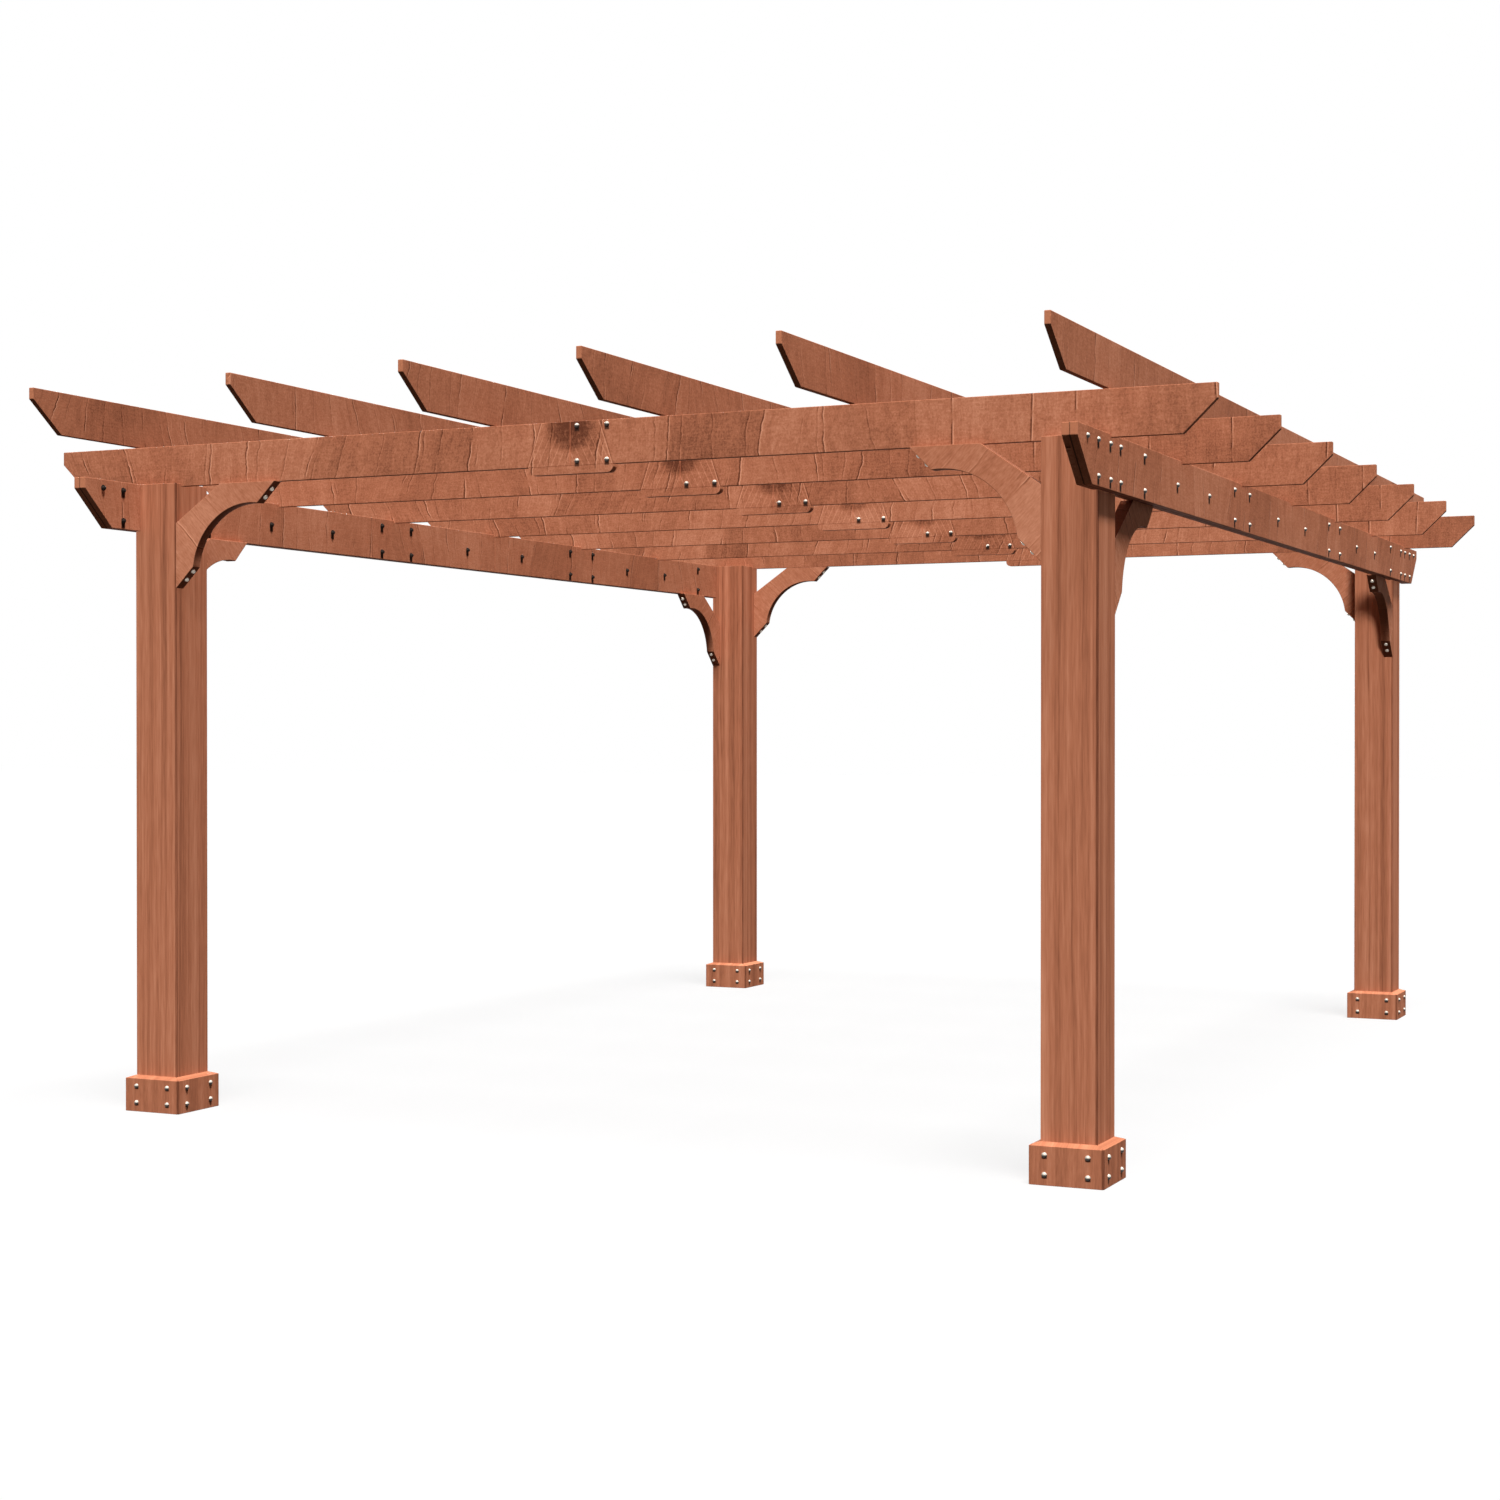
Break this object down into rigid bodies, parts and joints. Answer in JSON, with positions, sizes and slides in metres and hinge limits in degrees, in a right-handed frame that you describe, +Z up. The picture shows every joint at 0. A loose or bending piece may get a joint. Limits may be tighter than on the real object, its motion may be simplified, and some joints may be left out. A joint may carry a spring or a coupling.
{
  "type": "wooden pergola",
  "caption": "Free-standing wooden pergola: square posts with skirts, doubled side beams, notched rafters, purlins on top and curved knee braces; shades a patio or path.",
  "frame": {"origin": "on the ground, in the middle of the four posts", "axes": "+X along the rafters, +Y along the beams and purlins, +Z up"},
  "size_m": [4.02, 5.616, 2.375],
  "materials": {
    "post_wood": "reddish brown stain, long vertical grain, satin",
    "skirt_wood": "reddish brown stain, bevelled top edge, satin",
    "beam_wood": "reddish brown stain, satin",
    "rafter_wood": "reddish brown stain, satin",
    "purlin_wood": "reddish brown stain, satin",
    "brace_wood": "reddish brown stain, satin",
    "bolt_zinc": "bright zinc plating"
  },
  "bodies": {
    "root": {"post_front_left": "post_wood", "post_front_right": "post_wood", "post_back_left": "post_wood", "post_back_right": "post_wood", "skirt_front_left_ends": "skirt_wood", "skirt_front_left_sides": "skirt_wood", "skirt_front_right_ends": "skirt_wood", "skirt_front_right_sides": "skirt_wood", "skirt_back_left_ends": "skirt_wood", "skirt_back_left_sides": "skirt_wood", "skirt_back_right_ends": "skirt_wood", "skirt_back_right_sides": "skirt_wood", "beam_left_inner_ply": "beam_wood", "beam_left_outer_ply": "beam_wood", "beam_right_inner_ply": "beam_wood", "beam_right_outer_ply": "beam_wood", "rafter_1": "rafter_wood", "rafter_2": "rafter_wood", "rafter_3": "rafter_wood", "rafter_4": "rafter_wood", "rafter_5": "rafter_wood", "rafter_6": "rafter_wood", "rafter_7": "rafter_wood", "splice_plate_1": "rafter_wood", "splice_plate_2": "rafter_wood", "splice_plate_3": "rafter_wood", "splice_plate_4": "rafter_wood", "splice_plate_5": "rafter_wood", "splice_plate_6": "rafter_wood", "splice_plate_7": "rafter_wood", "purlin_1": "purlin_wood", "purlin_2": "purlin_wood", "purlin_3": "purlin_wood", "purlin_4": "purlin_wood", "purlin_5": "purlin_wood", "purlin_6": "purlin_wood", "brace_front_left_rafter": "brace_wood", "brace_front_right_rafter": "brace_wood", "brace_back_left_rafter": "brace_wood", "brace_back_right_rafter": "brace_wood", "brace_front_left_beam": "brace_wood", "brace_front_right_beam": "brace_wood", "brace_back_left_beam": "brace_wood", "brace_back_right_beam": "brace_wood"}
  },
  "joints": []
}
